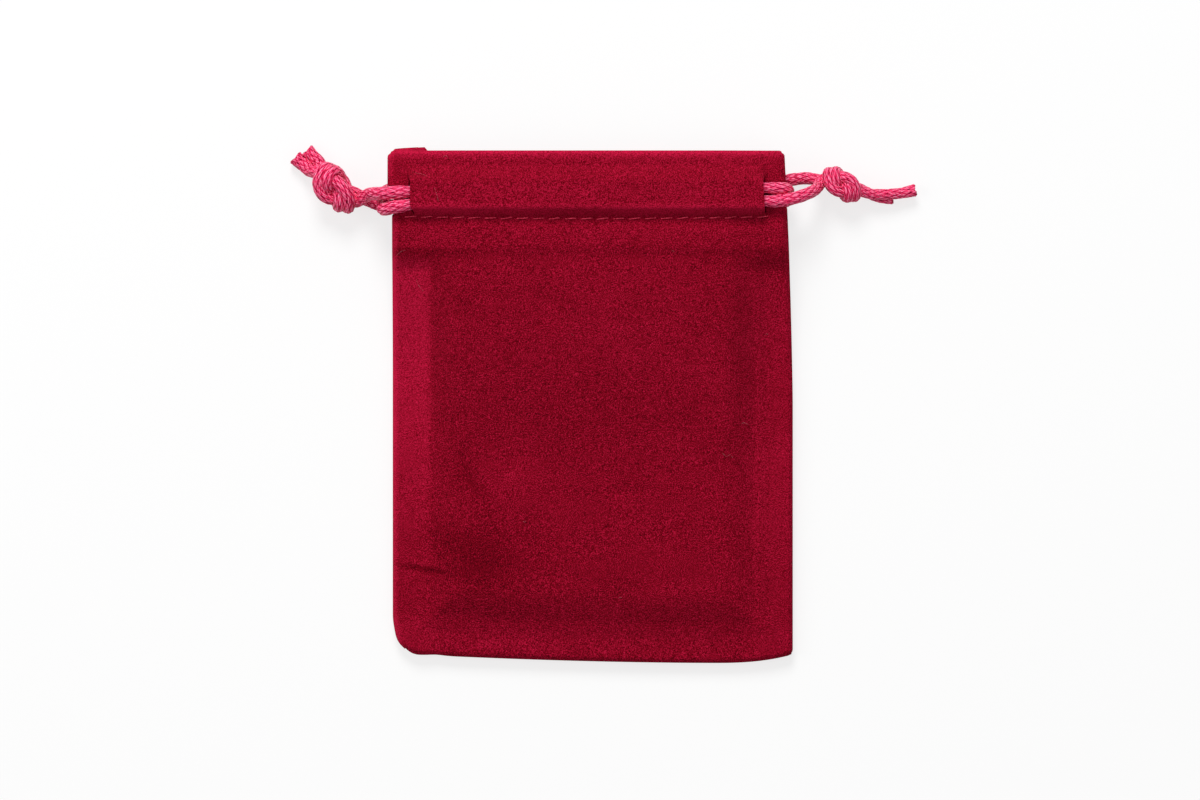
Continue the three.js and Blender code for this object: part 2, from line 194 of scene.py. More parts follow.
def frames_along(path):
    """Directions along, beside and above each point of a path, turning as little as they can."""
    along = np.gradient(path, axis=0)
    along /= np.linalg.norm(along, axis=1)[:, None]
    beside = np.zeros_like(path)
    beside[0] = np.cross(along[0], [0, 0, 1.0])
    beside[0] /= np.linalg.norm(beside[0])
    for i in range(1, len(path)):
        side = beside[i - 1] - along[i] * np.dot(beside[i - 1], along[i])
        beside[i] = side / np.linalg.norm(side)
    return along, beside, np.cross(along, beside)


def tube_grid(path, sides):
    """The path's direction, and at each point of a tube round it: distance, angle and way outwards."""
    along, beside, above = frames_along(path)
    turn = np.linspace(0, 2 * math.pi, sides, endpoint=False)
    grid_run, grid_turn = np.meshgrid(distance_along(path), turn, indexing="ij")
    c, s = np.cos(grid_turn)[..., None], np.sin(grid_turn)[..., None]
    outward = c * beside[:, None] + s * above[:, None]
    return along, grid_run, grid_turn, outward


def tube_faces(rings, sides):
    """The faces of a tube of rings, closed at each end round one more point."""
    faces = []
    for i in range(rings - 1):
        for j in range(sides):
            k = (j + 1) % sides
            faces.append((i * sides + j, (i + 1) * sides + j, (i + 1) * sides + k, i * sides + k))
    end = rings * sides
    for j in range(sides):
        k = (j + 1) % sides
        faces.append((end, j, k))
        faces.append((end + 1, end - sides + k, end - sides + j))
    return faces


def mesh_piece(name, points, faces):
    """A new object at the origin with its place in its mesh, which is given in millimetres."""
    mesh = bpy.data.meshes.new(name)
    mesh.from_pydata((np.asarray(points) * mm).tolist(), [], faces)
    mesh.validate()
    piece = bpy.data.objects.new(name, mesh)
    bpy.context.scene.collection.objects.link(piece)
    mesh.shade_smooth()
    return piece


def write_values(piece, name, values):
    """Keeps one number for each point of a piece, which its material reads."""
    attribute = piece.data.attributes.new(name, "FLOAT", "POINT")
    attribute.data.foreach_set("value", np.asarray(values, np.float32).ravel())


def braid(run, turn):
    """The height of the braid, nought to one, at a distance along the cord and an angle round it."""
    left = braid_carriers * turn / (2 * math.pi) + run / braid_cell_length
    right = braid_carriers * turn / (2 * math.pi) - run / braid_cell_length
    left_part, right_part = left % 1, right % 1
    left_over = (np.floor(left) + np.floor(right)) % 2 < 0.5
    across = np.where(left_over, left_part, right_part)
    length = np.where(left_over, right_part, left_part)
    bundles = np.abs(np.sin(2 * math.pi * across)) ** 0.7
    rounded = np.sin(math.pi * across) ** 0.35
    crowned = 0.45 + 0.55 * np.sin(math.pi * length)
    return (0.3 + 0.7 * bundles) * rounded * crowned


def braided_cord(name, path, radii):
    """A closed tube with the relief of the braid, its height and its run kept for the material."""
    along, grid_run, grid_turn, outward = tube_grid(path, cord_sides)
    length = grid_run[-1, 0]
    height = braid(grid_run, grid_turn)
    radius = radii[:, None] + (height - braid_middle) * braid_relief
    ragged = 0.10 * np.sin(4 * grid_turn + 1) + 0.07 * np.sin(11 * grid_turn)
    near_end = np.exp(-grid_run / frayed_length) - np.exp(-(length - grid_run) / frayed_length)
    cut_ends = along[:, None] * (ragged * near_end)[..., None]
    points = path[:, None] + outward * radius[..., None] + cut_ends
    points = np.vstack([points.reshape(-1, 3), path[0], path[-1]])
    piece = mesh_piece(name, points, tube_faces(len(path), cord_sides))
    write_values(piece, "braid_height", np.r_[height.ravel(), cut_end_height, cut_end_height])
    write_values(piece, "braid_run", np.r_[grid_run.ravel(), 0, length])
    write_values(piece, "braid_turn", np.r_[grid_turn.ravel(), 0, 0])
    return piece


# Left cord, knotted at the left: points from the knot to the far side and back, in millimetres,
# and then the cord's radius at some places across the pouch.
left_front = [
    [-38.9, 37.0, 5.4], [-37.7, 37.1, 7.5], [-36.0, 37.15, 9.2], [-33, 37.3, 9.7], [-28, 37.5, 9.7],
    [-14, 37.7, 9.7], [0, 37.9, 9.7], [14, 38.05, 9.7], [28, 38.1, 9.7], [31.9, 38.0, 9.65],
    [33.8, 37.9, 8.9], [34.55, 37.7, 7.2], [34.6, 37.1, 5.5], [34.6, 36.4, 3.8], [34.1, 35.8, 2.4],
    [32, 35.7, 1.8], [28, 35.7, 1.8], [14, 35.55, 1.8], [0, 35.4, 1.8], [-14, 35.25, 1.8],
    [-28, 35.1, 1.8], [-33, 35.0, 1.8], [-36.5, 35.2, 1.4], [-38.8, 36.0, 1.4],
]
left_tails = (
    [[-51.9, 43.6, 1.4], [-50.5, 42.35, 1.6], [-49.3, 41.3, 2.2]],
    [[-49.9, 44.8, 1.4], [-48.8, 43.7, 1.5], [-47.6, 42.5, 1.8]],
)
left_knot = placed_knot(
    roll=120, turn=-30, scale=1.0, centre=(-44.6, 38.3), radius=1.14, reach=(3.3, 4.4),
)
left_points = np.vstack([
    left_tails[0], left_knot[1][::-1], left_front, left_knot[0], left_tails[1][::-1],
])
left_widths = (
    (-41, -38, -33, -31, 31, 33),
    (1.14, 1.14, 1.16, squeezed_radius, squeezed_radius, 1.12),
)

# Right cord, knotted at the right, its lower tail hidden under the upper one.
right_front = [
    [40.0, 38.5, 4.4], [39.2, 37.7, 6.5], [37.8, 37.0, 8.4], [35.8, 36.3, 9.5], [33, 35.8, 9.7],
    [28, 35.75, 9.7], [14, 35.65, 9.7], [0, 35.6, 9.7], [-14, 35.5, 9.7], [-28, 35.4, 9.7],
    [-31, 35.2, 9.7],
    [-33.3, 34.9, 9.7], [-35.3, 34.5, 9.1], [-36.25, 34.4, 7.6], [-36.3, 35.4, 5.75], [-36.2, 36.8, 4.2],
    [-35.5, 37.8, 2.5], [-33.3, 37.9, 1.8], [-28, 37.7, 1.8], [-14, 37.75, 1.8], [0, 37.9, 1.8],
    [14, 38.0, 1.8], [28, 38.0, 1.8], [31, 38.3, 1.8], [33, 39.0, 1.7], [34.8, 39.6, 1.5],
    [36.6, 39.85, 1.4], [38.3, 39.95, 1.5],
]
right_tails = (
    [[57.0, 37.85, 1.7], [54.5, 37.3, 2.1], [51.8, 37.1, 2.6], [49.2, 37.15, 2.9]],
    [[53.1, 36.5, 1.1], [51.6, 36.5, 1.1], [49.9, 36.9, 1.15]],
)
right_knot = placed_knot(
    roll=90, turn=169, scale=0.78, centre=(44.1, 38.8), radius=1.0, reach=(4.4, 4.4),
)
right_points = np.vstack([
    right_tails[0], right_knot[1][::-1], right_front, right_knot[0], right_tails[1][::-1],
])
right_widths = (
    (-33, -31, 30, 32, 38, 41, 46, 48),
    (1.16, squeezed_radius, squeezed_radius, 1.1, 1.06, 1.0, 1.0, 0.92),
)

def linear(hex_colour):
    """A colour as it looks on screen, turned to linear light."""
    values = [int(hex_colour[i:i + 2], 16) / 255 for i in (1, 3, 5)]
    return (*[v / 12.92 if v <= 0.04045 else ((v + 0.055) / 1.055) ** 2.4 for v in values], 1.0)


def add_node(material, kind, settings=None, **links):
    """Adds a node with its settings, and links each named input to another node's output."""
    node = material.node_tree.nodes.new(kind)
    for key, value in (settings or {}).items():
        if key in node.inputs:
            node.inputs[key].default_value = value
        else:
            setattr(node, key, value)
    for key, output in links.items():
        socket = int(key[2:]) if key.startswith("at") else key.replace("_", " ")
        material.node_tree.links.new(output, node.inputs[socket])
    return node


def new_material(name):
    material = bpy.data.materials.new(name)
    material.use_nodes = True
    material.node_tree.nodes.clear()
    return material


# Braided satin cord: shiny filament yarn, deep red, with painted pale highlights on the crowns of the
# braid and painted shade between them. The filaments are drawn 0.12 mm apart, coarser than real, so that
# they show.
satin = new_material("braided_satin_yarn")
crown = add_node(satin, "ShaderNodeAttribute", {"attribute_name": "braid_height"}).outputs["Fac"]
run = add_node(satin, "ShaderNodeAttribute", {"attribute_name": "braid_run"}).outputs["Fac"]
turn = add_node(satin, "ShaderNodeAttribute", {"attribute_name": "braid_turn"}).outputs["Fac"]
along_yarn = add_node(satin, "ShaderNodeMath", {"operation": "MULTIPLY"}, at0=run)
along_yarn.inputs[1].default_value = 0.9
round_yarn = add_node(satin, "ShaderNodeMath", {"operation": "MULTIPLY"}, at0=turn)
round_yarn.inputs[1].default_value = 6.0
yarn_place = add_node(satin, "ShaderNodeCombineXYZ", {}, X=along_yarn.outputs[0], Y=round_yarn.outputs[0])
filament = add_node(satin, "ShaderNodeTexNoise", {
    "Scale": 1.6, "Detail": 3.0, "Roughness": 0.65,
}, Vector=yarn_place.outputs[0])
streak = add_node(satin, "ShaderNodeMapRange", {
    "From Min": 0.35, "From Max": 0.65, "To Min": -0.42, "To Max": 0.42,
}, Value=filament.outputs["Fac"]).outputs["Result"]
# Painted shade in the braid's hollows and painted highlights on its crowns, with random streaks of the
# filaments.
painted_highlight_and_streaks = add_node(satin, "ShaderNodeMath", {"operation": "ADD"}, at0=crown, at1=streak).outputs[0]
yarn_ramp = add_node(satin, "ShaderNodeValToRGB", {}, Fac=painted_highlight_and_streaks)
yarn_ramp.color_ramp.elements[0].position = 0.15
yarn_ramp.color_ramp.elements[0].color = linear("#60001a")
yarn_ramp.color_ramp.elements[1].position = 0.95
yarn_ramp.color_ramp.elements[1].color = linear("#ff98ba")
for position, colour in ((0.42, "#e62052"), (0.70, "#ff4a80")):
    yarn_ramp.color_ramp.elements.new(position).color = linear(colour)
yarn_bump = add_node(satin, "ShaderNodeBump", {
    "Strength": 0.35, "Distance": 0.08 * mm,
}, Height=filament.outputs["Fac"])
yarn = add_node(satin, "ShaderNodeBsdfPrincipled", {
    "Roughness": 0.3, "IOR": 1.3, "Specular IOR Level": 0.5, "Specular Tint": linear("#ff7098"),
}, Base_Color=yarn_ramp.outputs["Color"], Normal=yarn_bump.outputs["Normal"])
add_node(satin, "ShaderNodeOutputMaterial", {}, Surface=yarn.outputs["BSDF"])

for side, points, widths, slit_exit in (
    ("left", left_points, left_widths, (-31.6, 37.5, 9.7)),
    ("right", right_points, right_widths, (31.2, 35.7, 9.7)),
):
    path = resampled(points, path_step)
    for _ in range(path_smoothings):
        path[1:-1] += (path[:-2] + path[2:] - 2 * path[1:-1]) * 0.25
    path = resampled(path, path_step)
    run = distance_along(path)
    flare = cut_end_flare * np.exp(-np.minimum(run, run[-1] - run) / cut_end_length)
    radii = np.interp(path[:, 0], *widths) + flare
    path[:, 2] = np.maximum(path[:, 2], radii + braid_relief / 2)
    piece = braided_cord(side + "_satin_cord", path, radii)
    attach(piece, side + "_cord")
    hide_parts(side + "_drawcord", side + "_drawcord_knot")
    piece.data.materials.append(satin)


# Velvet panels: each is one cut piece of short-pile velvet. The sides and the bottom are turned
# in and sewn, the top is folded down and stitched as the casing, and a slit at each side lets
# the cords out. Both panels come from the same cut; the back one stands a little higher.
overall_width = 71.1
body_depth = 78.1
casing_depth = 11.7
back_rise = 0.7
seam_allowance = 6.5
hem_allowance = 5.5

# How thick the cloth is, and how far its plies lie apart.
cloth = 0.55
ply_gap = 0.1
panel_gap = 0.3
interior_height = 4.4
mouth_height = 4.3
channel_height = 2.5
top_loft = 0.5
stitch_groove = 1.1
fold_reach = 0.9

# The slits, and the dents that the cords' loops press into the sides.
slit_inset = 3.9
slit_start = 0.45
slit_length = 6.4
slit_mouth = 0.14
loop_dent = 1.1

# How the outline departs from a rectangle. Left is -1 and right is 1.
left_step = 0.8
left_foot_taper = 1.2
left_foot_taper_end = 8.7
right_lean = 1.6
lowest_x = 22.0
left_foot_lift = 1.65
right_foot_lift = 1.5
foot_wave_x = -28.2
foot_wave_width = 1.7
foot_wave_height = 0.16
bottom_corner_radii = {-1: 3.5, 1: 0.9}
top_corner_radii = {-1: 1.3, 1: 1.0}
front_top_rise = 0.08
back_hidden = 0.3
back_slant = 0.4
back_peep = 0.45

# Places that follow from the sizes.
pitch = cloth + ply_gap
outer_face = pitch / 2 + cloth / 2
inner_face = pitch / 2 - cloth / 2
bottom_y = -(body_depth + casing_depth + back_rise) / 2
stitch_y = bottom_y + body_depth
hem_edge_y = stitch_y - hem_allowance
top_corner_y = stitch_y + casing_depth
slit_low = stitch_y + slit_start
slit_high = slit_low + slit_length
back_cord_z = cloth + channel_height / 2
front_hem_bottom = 2 * cloth + channel_height + mouth_height
front_cord_z = front_hem_bottom + cloth + channel_height / 2
body_seam_z = 2 * cloth + ply_gap + panel_gap / 2
casing_seam_z = (back_cord_z + front_cord_z) / 2


def smooth(low, high, value):
    """Nought below low, one above high, and an easy slope between them."""
    t = np.clip((value - low) / (high - low), 0, 1)
    return t * t * (3 - 2 * t)


def mix(a, b, t):
    return a + (b - a) * t


def bell(value, middle, half):
    """One at the middle, falling softly to nought at about twice the half width."""
    return np.exp(-((value - middle) / half) ** 2)


def slit_band(y):
    """One along the slits, nought above and below them."""
    return smooth(slit_low - 0.4, slit_low, y) * (1 - smooth(slit_high, slit_high + 0.8, y))


def dent_band(y, side):
    """Where the cords' loops press into the pouch's sides, a little higher at the right."""
    low = slit_low + np.where(side < 0, -0.1, 1.3)
    high = slit_high + np.where(side < 0, -2.1, -1.4)
    return smooth(low, low + 1.1, y) * (1 - smooth(high, high + 0.8, y))


def left_edge(y, dented=1.0):
    step = left_step * (1 - smooth(stitch_y + 0.6, stitch_y + 2.2, y))
    taper = left_foot_taper * (1 - smooth(bottom_y + 0.2, bottom_y + left_foot_taper_end, y))
    return -overall_width / 2 + (step + taper) + dented * loop_dent * dent_band(y, -1)


def right_edge(y, dented=1.0):
    lean = right_lean * np.clip(y / top_corner_y, 0, 1) ** 1.5
    return overall_width / 2 - lean - dented * loop_dent * dent_band(y, 1)


def top_edge(side, x):
    """The top fold: straight in front, and behind it the back panel shows in two places only."""
    front = top_corner_y + front_top_rise
    slant = back_rise + back_slant * np.clip((x + 34.6) / 5.5, 0, 1)
    peeping = slant * smooth(-35.2, -34.2, x) * (1 - smooth(-29.2, -28.2, x))
    peeping += back_peep * smooth(3.0, 6.0, x) * (1 - smooth(12, 15, x))
    return front + (peeping - back_hidden if side < 0 else 0.0 * x)


def bottom_edge(x):
    """The foot is lowest right of the middle, rises to both corners, and waves a little at the left."""
    reach = np.where(x < lowest_x, lowest_x + overall_width / 2, overall_width / 2 - lowest_x)
    away = np.clip(np.abs(x - lowest_x) / reach, 0, 1)
    wave = foot_wave_height * bell(x, foot_wave_x, foot_wave_width)
    lift = np.where(x < lowest_x, left_foot_lift * away**1.8, right_foot_lift * away**2.5)
    return bottom_y + wave + lift


def round_corner(x, y):
    """Rounds the four corners, and all that lies inside the outline there."""
    for end, corner_radii in ((-1, bottom_corner_radii), (1, top_corner_radii)):
        for side, radius in corner_radii.items():
            end_y = bottom_y if end < 0 else top_corner_y
            corner_x = left_edge(end_y) if side < 0 else right_edge(end_y)
            corner_y = bottom_edge(corner_x) if end < 0 else top_edge(1, corner_x)
            cx, cy = corner_x - side * radius, corner_y - end * radius
            dx, dy = (x - cx) * side, (y - cy) * end
            inside = (dx > 0) & (dy > 0)
            shrink = np.maximum(dx, dy) / np.maximum(np.hypot(dx, dy), 1e-9)
            x = np.where(inside, cx + dx * shrink * side, x)
            y = np.where(inside, cy + dy * shrink * end, y)
    return x, y


def seam_z(y):
    """The height of the side seam, which climbs from the body to the thicker casing."""
    return mix(body_seam_z, casing_seam_z, smooth(stitch_y - 27, stitch_y, y))


def fold_radius(y):
    """How far the middle of a side fold's outer ply lies from the fold's own middle."""
    return pitch * smooth(hem_edge_y - 4, hem_edge_y - 0.5, y)


def stitch_line(x):
    """The row of stitches dips a little in the middle."""
    return stitch_y - 0.15 + 0.4 * (x / 33) ** 2


def side_distance(x, y):
    return np.minimum(x - left_edge(y), right_edge(y) - x)


def inboard(x, y):
    """Nought at the sides, where a panel comes down to the seam, and one over the channel."""
    slit_at = slit_inset - loop_dent * dent_band(y, x)
    ramp = mix(0.9, slit_mouth, slit_band(y))
    return smooth(slit_at - ramp, slit_at + ramp, side_distance(x, y))


def standoff(x, y):
    """How far the outer ply stands off the hem, over the cords and at the top fold."""
    start = stitch_line(x)
    bump = smooth(start - 0.1, slit_low + 1.5, y) * (1 - smooth(slit_high - 0.8, top_corner_y - 1.3, y))
    ridge = (channel_height - ply_gap) * bump
    return np.maximum(ridge, top_loft * smooth(slit_high, top_corner_y - 2, y))


def level(side, x, y):
    """The middle level of a panel's plies."""
    edge = seam_z(y) + side * (panel_gap / 2 + outer_face + 2 * fold_radius(y))
    distance = np.minimum(side_distance(x, y), y - bottom_edge(x))
    if side > 0:
        crown = smooth(bottom_y + 30, hem_edge_y, y)
        middle = mix(cloth + interior_height - inner_face, front_hem_bottom + outer_face, crown)
        soft = smooth(3.5, 12.5, distance)
    else:
        groove = stitch_groove * (1 - smooth(0, 1.6, np.abs(y - stitch_line(x))))
        middle = outer_face + standoff(x, y) + groove
        soft = smooth(2, 9, distance)
    return mix(edge, middle, mix(soft, inboard(x, y), slit_band(y)))


# What the turned-in plies and soft handling leave on the front face: height in millimetres, and
# how much lighter or darker the pile is painted there: painted shade and light along the creases, and
# broader patches.
crease_height = 5
crease_painted_shade = 6
creases = [
    # x, y, length, width, turn in degrees, height, painted shade
    [-20.2, -14.3, 4.6, 1.3, -60, -0.25, -0.34],
    [-22.5, -9.0, 5.0, 1.8, -72, -0.10, -0.16],
    [-29.6, -28.7, 4.8, 0.42, -9, -0.18, -0.95],
    [-29.6, -27.9, 4.4, 0.8, -9, 0.14, 0.14],
    [-14.0, -13.0, 6.0, 3.2, 8, 0.25, 0.22],
    [-25.5, -24.0, 3.6, 3.6, 0, -0.12, -0.22],
    [-19.0, -27.0, 6.5, 6.0, 0, 0.0, -0.42],
    [0.0, 0.0, 16.0, 10.0, 0, 0.0, -0.10],
    [2.0, -31.0, 11.0, 4.5, 0, 0.0, -0.10],
    [11.0, 34.5, 15.0, 0.9, 0, 0.0, 0.3],
    [-17.0, -27.5, 8.5, 5.0, -12, -0.20, -0.16],
    [8.0, -15.0, 18.0, 0.9, 0, -0.07, -0.06],
    [24.0, 6.0, 8.0, 5.0, 60, 0.15, 0.10],
    [6.0, 10.0, 12.0, 4.0, -30, 0.14, 0.10],
    [-8.0, 18.0, 9.0, 3.0, -20, -0.12, -0.08],
    [12.0, -34.0, 14.0, 2.4, 12, 0.12, 0.08],
]


def crease_sum(x, y, column):
    """All the creases' heights or painted shades at a point."""
    total = np.zeros_like(x)
    for crease in creases:
        cx, cy, length, width, turn = crease[:5]
        c, s = math.cos(math.radians(turn)), math.sin(math.radians(turn))
        along = (x - cx) * c + (y - cy) * s
        across = (y - cy) * c - (x - cx) * s
        total += crease[column] * bell(along, 0, length) * bell(across, 0, width)
    return total


def ply_print(x, y):
    """The raised print of the seam allowances and of the hem under the face."""
    from_side = side_distance(x, y)
    from_bottom = y - bottom_edge(x)
    strip = 1 - smooth(seam_allowance - 0.9, seam_allowance + 0.5, from_side)
    foot = 1 - smooth(seam_allowance - 1.2, seam_allowance + 0.9, from_bottom)
    hem = smooth(hem_edge_y - 1.2, hem_edge_y + 0.6, y) * (1 - smooth(stitch_y - 2.2, stitch_y - 0.2, y))
    below = 1 - smooth(hem_edge_y, hem_edge_y + 2, y)
    return 0.32 * strip * below + 0.22 * foot * (1 - strip) + 0.3 * hem


uneven_waves = 26


def uneven(x, y, seed):
    """Slow unevenness of hand-sewn cloth, made of a few waves."""
    rng = np.random.default_rng(seed)
    total = np.zeros_like(x)
    for _ in range(uneven_waves):
        length = rng.uniform(3.5, 16)
        turn, shift = rng.uniform(0, 2 * math.pi, 2)
        along = x * math.cos(turn) + y * math.sin(turn)
        total += length * np.sin(2 * math.pi * along / length + shift)
    return total / uneven_waves / 8


def face_relief(side, x, y):
    """What stands out of a panel's face: seam print, creases and the unevenness of handling."""
    inside = smooth(0, 3, side_distance(x, y))
    if side > 0:
        return ply_print(x, y) + (crease_sum(x, y, crease_height) + 0.12 * uneven(x, y, 4)) * inside
    return 0.7 * ply_print(x, y) - 0.32 + 0.14 * uneven(x, y, 5) * inside


pile_relief = 0.018


def pile_grain(shape, seed):
    """The tufts of the pile, one number for each point."""
    grain = np.random.default_rng(seed).normal(0, 1, shape)
    soft = grain + 0.6 * (np.roll(grain, 1, 0) + np.roll(grain, 1, 1))
    return np.clip(soft / 1.3, -2, 2)


# Where the sheet's points lie: closer together at the folds and the slits than on the open face.
near_insets = np.r_[
    0, 0.3, 0.65, 1.0, 1.35, 1.7, 2.0, 2.25, 2.5, 2.52, 2.66, 2.78, 2.8, 3.1, 3.5,
    np.arange(3.9, 13.3, 0.42),
]
slit_columns = (2.51, 2.79)
middle_columns = 104
face_rows = 172
fold_turns = (30, 60, 90, 120, 150, 180)
allowance_depths = (1.2, 2.6, 4.0, seam_allowance - outer_face)


def panel_columns():
    """Each column's side, inset, turn round the side fold, depth in the allowance, and share across."""
    half = [(-1.0, 180.0, depth) for depth in allowance_depths[::-1]]
    half += [(-1.0, float(turn), 0.0) for turn in fold_turns[::-1]]
    half += [(float(inset), 0.0, 0.0) for inset in near_insets]
    left = [(-1, *column, -1.0) for column in half]
    right = [(1, *column, -1.0) for column in half[::-1]]
    share = np.linspace(0, 1, middle_columns + 2)[1:-1]
    return np.array(left + [(0, 0.0, 0.0, 0.0, t) for t in share] + right)


def panel_rows():
    """The kinds of row, from the turned-in bottom up the face, over the top and down the hem."""
    rows = [("under", t) for t in (1.0, 0.75, 0.5, 0.25, 0.0)]
    rows += [("bottom", turn) for turn in (150, 120, 90, 60, 30)]
    rows += [("face", t) for t in np.linspace(0, 1, face_rows)]
    low_rows = np.r_[np.arange(-5.1, -1.2, 0.4), np.arange(-1.2, 1.6, 0.2)]
    high_rows = np.r_[np.arange(1.6, 5.9, 0.36), np.arange(5.9, 10.7, 0.25)]
    rows += [("casing", stitch_y + y) for y in np.r_[low_rows, high_rows]]
    rows += [("casing", top_corner_y - fold_reach)]
    rows += [("top", turn) for turn in (15, 35, 55, 75, 90, 105, 125, 145, 165)]
    hem = np.r_[top_corner_y - fold_reach, stitch_y + np.arange(9.2, -5.0, -0.9), hem_edge_y]
    rows += [("hem", y) for y in hem]
    return rows


def panel_surface(side, columns, rows, thin):
    """One surface of a panel: the pile side, or the wrong side if thin is the cloth's thickness."""
    count = (len(columns), len(rows))
    col_side, inset, turn, depth, share = (columns[:, k][:, None] * np.ones(count) for k in range(5))
    kind = np.tile([row[0] for row in rows], (len(columns), 1))
    value = np.array([float(row[1]) for row in rows])[None, :] * np.ones(count)
    is_under, is_bottom, is_face = kind == "under", kind == "bottom", kind == "face"
    is_top, is_hem = kind == "top", kind == "hem"
    low_rows = is_under | is_bottom
    theta = np.radians(turn)
    on_face = turn == 0
    hidden = depth > 0
    middle = col_side == 0
    reach = near_insets[-1]
    half_body = (bottom_y + hem_edge_y) / 2

    def fold_place(y):
        """The x of each point before it turns round the side fold, and that fold's radius."""
        radius = fold_radius(y)
        left = left_edge(y, 0) + radius + outer_face
        right = right_edge(y, 0) - radius - outer_face
        dent = loop_dent * dent_band(y, col_side) * (1 - np.clip(inset / 2.4, 0, 1))
        shown = np.maximum(inset, 0)
        x = np.where(col_side < 0, left + shown + dent, right - shown - dent)
        x = np.where(hidden, np.where(col_side < 0, left + depth, right - depth), x)
        return np.where(middle, mix(left + reach, right - reach, share), x), radius

    # Where each row lies, with the foot's allowance tucked in and mitred under the sides' own.
    x_low, _ = fold_place(np.full(count, half_body))
    fold_y = bottom_edge(x_low) + outer_face
    face_low = fold_y + np.where(hidden, depth + panel_gap, 0)
    from_side = np.where(middle, overall_width, np.where(hidden, 0.0, np.maximum(inset, 0)))
    tuck = np.minimum(seam_allowance - outer_face, from_side + 0.05)
    mitre = face_low - 0.01 * np.cumsum(low_rows, axis=1)[:, ::-1]
    y = np.where(is_under, fold_y + value * tuck, value)
    y = np.where(is_bottom, fold_y, y)
    y = np.where(low_rows & hidden, mitre, y)
    y = np.where(is_face, mix(face_low, hem_edge_y, value), y)
    y = np.where(is_top, top_corner_y - fold_reach, y)

    # The side folds, the lift over the cords, and the relief of the face.
    x, radius = fold_place(y)
    base = level(side, x, y)
    lifted = on_face & ~is_hem & ~low_rows
    raise_by = np.where(lifted, standoff(x, y) * inboard(x, y), 0)
    nx = np.where((turn == 180) | on_face, 0, col_side * np.sin(theta))
    nz = side * np.cos(theta)
    centre_z = base - side * np.where(on_face, 0, radius)
    px = x + nx * radius
    pz = centre_z + np.where(on_face, 0, nz * radius)
    offset = np.where(is_hem, -outer_face + thin, outer_face - thin) + raise_by
    if thin == 0:
        relief = face_relief(side, x, y) + pile_relief * pile_grain(count, 11 + side)
        offset += np.where(lifted & ~is_top, relief, 0)

    # On slopes the wrong side keeps its distance square to the cloth.
    slope_y = np.zeros(count)
    if thin > 0:
        def height(at):
            fx, _ = fold_place(at)
            return side * level(side, fx, at) + np.where(lifted, standoff(fx, at) * inboard(fx, at), 0)

        slope = np.arctan2(height(y + 0.3) - height(y - 0.3), 0.6)
        inward = np.where(is_hem, -cloth, cloth)
        sloping = on_face & (is_face | is_hem | (kind == "casing"))
        slope_y = np.where(sloping, inward * np.sin(slope), 0)
        offset = np.where(sloping, offset + inward * (1 - np.cos(slope)), offset)

    # The top fold and the foot fold turn round.
    half_height = (2 * outer_face + raise_by) / 2 - thin
    top_turn = np.radians(value)
    offset = np.where(is_top, raise_by / 2 + half_height * np.cos(top_turn), offset)
    y = np.where(is_top, y + (fold_reach - thin) * np.sin(top_turn), y) + slope_y
    foot_turn = np.where(is_under, math.pi, np.where(is_bottom, np.radians(value), 0))
    foot_radius = outer_face - thin
    y = np.where(is_bottom & ~hidden, y - foot_radius * np.sin(foot_turn), y)
    low_z = base + side * foot_radius * np.minimum(np.cos(theta), np.cos(foot_turn))
    low_x = x + col_side * foot_radius * np.sin(theta) * np.where(turn == 180, 0, 1)
    x_out = np.where(low_rows, low_x, px + nx * offset)
    z_out = np.where(low_rows, low_z, pz + nz * offset)
    y += (top_edge(side, x_out) - top_corner_y) * smooth(slit_high, top_corner_y - fold_reach, y)
    x_out, y = round_corner(x_out, y)
    return np.stack([x_out, y, z_out], axis=2)


def velvet_panel(name, side):
    """The closed sheet of one panel, its points, and how many of them lie on the pile side."""
    columns, rows = panel_columns(), panel_rows()
    pile = panel_surface(side, columns, rows, 0.0)
    wrong = panel_surface(side, columns, rows, cloth)
    across, along = pile.shape[:2]
    insets = columns[:, 1]
    total = across * along

    # The two slits are gaps in the outer ply, one narrow column of faces each.
    cut = np.zeros((across - 1, along - 1), bool)
    for c in range(across - 1):
        low, high = sorted((insets[c], insets[c + 1]))
        if columns[c, 0] == 0 or low <= slit_columns[0] or high >= slit_columns[1]:
            continue
        for r in range(along - 1):
            if rows[r][0] == "casing" and rows[r + 1][0] == "casing":
                cut[c, r] = slit_low <= rows[r][1] and rows[r + 1][1] <= slit_high

    def at(face, c, r):
        return face * total + c * along + r

    def quad(a, b, c, d):
        faces.append((a, b, c, d) if side > 0 else (d, c, b, a))

    # Both surfaces, the walls of the slits, and the raw edges all round.
    faces = []
    last = across - 1
    for c in range(across - 1):
        for r in range(along - 1):
            if cut[c, r]:
                for start, stop, gone in (
                    ((c, r), (c, r + 1), c > 0 and cut[c - 1, r]),
                    ((c + 1, r + 1), (c + 1, r), c < across - 2 and cut[c + 1, r]),
                    ((c + 1, r), (c, r), r > 0 and cut[c, r - 1]),
                    ((c, r + 1), (c + 1, r + 1), r < along - 2 and cut[c, r + 1]),
                ):
                    if not gone:
                        quad(at(0, *stop), at(0, *start), at(1, *start), at(1, *stop))
                continue
            quad(at(0, c, r), at(0, c + 1, r), at(0, c + 1, r + 1), at(0, c, r + 1))
            quad(at(1, c, r), at(1, c, r + 1), at(1, c + 1, r + 1), at(1, c + 1, r))
        quad(at(0, c + 1, 0), at(0, c, 0), at(1, c, 0), at(1, c + 1, 0))
        quad(at(0, c, along - 1), at(0, c + 1, along - 1), at(1, c + 1, along - 1), at(1, c, along - 1))
    for r in range(along - 1):
        quad(at(0, 0, r), at(0, 0, r + 1), at(1, 0, r + 1), at(1, 0, r))
        quad(at(0, last, r + 1), at(0, last, r), at(1, last, r), at(1, last, r + 1))
    points = np.vstack([pile.reshape(-1, 3), wrong.reshape(-1, 3)])
    return mesh_piece(name, points, faces), points, total


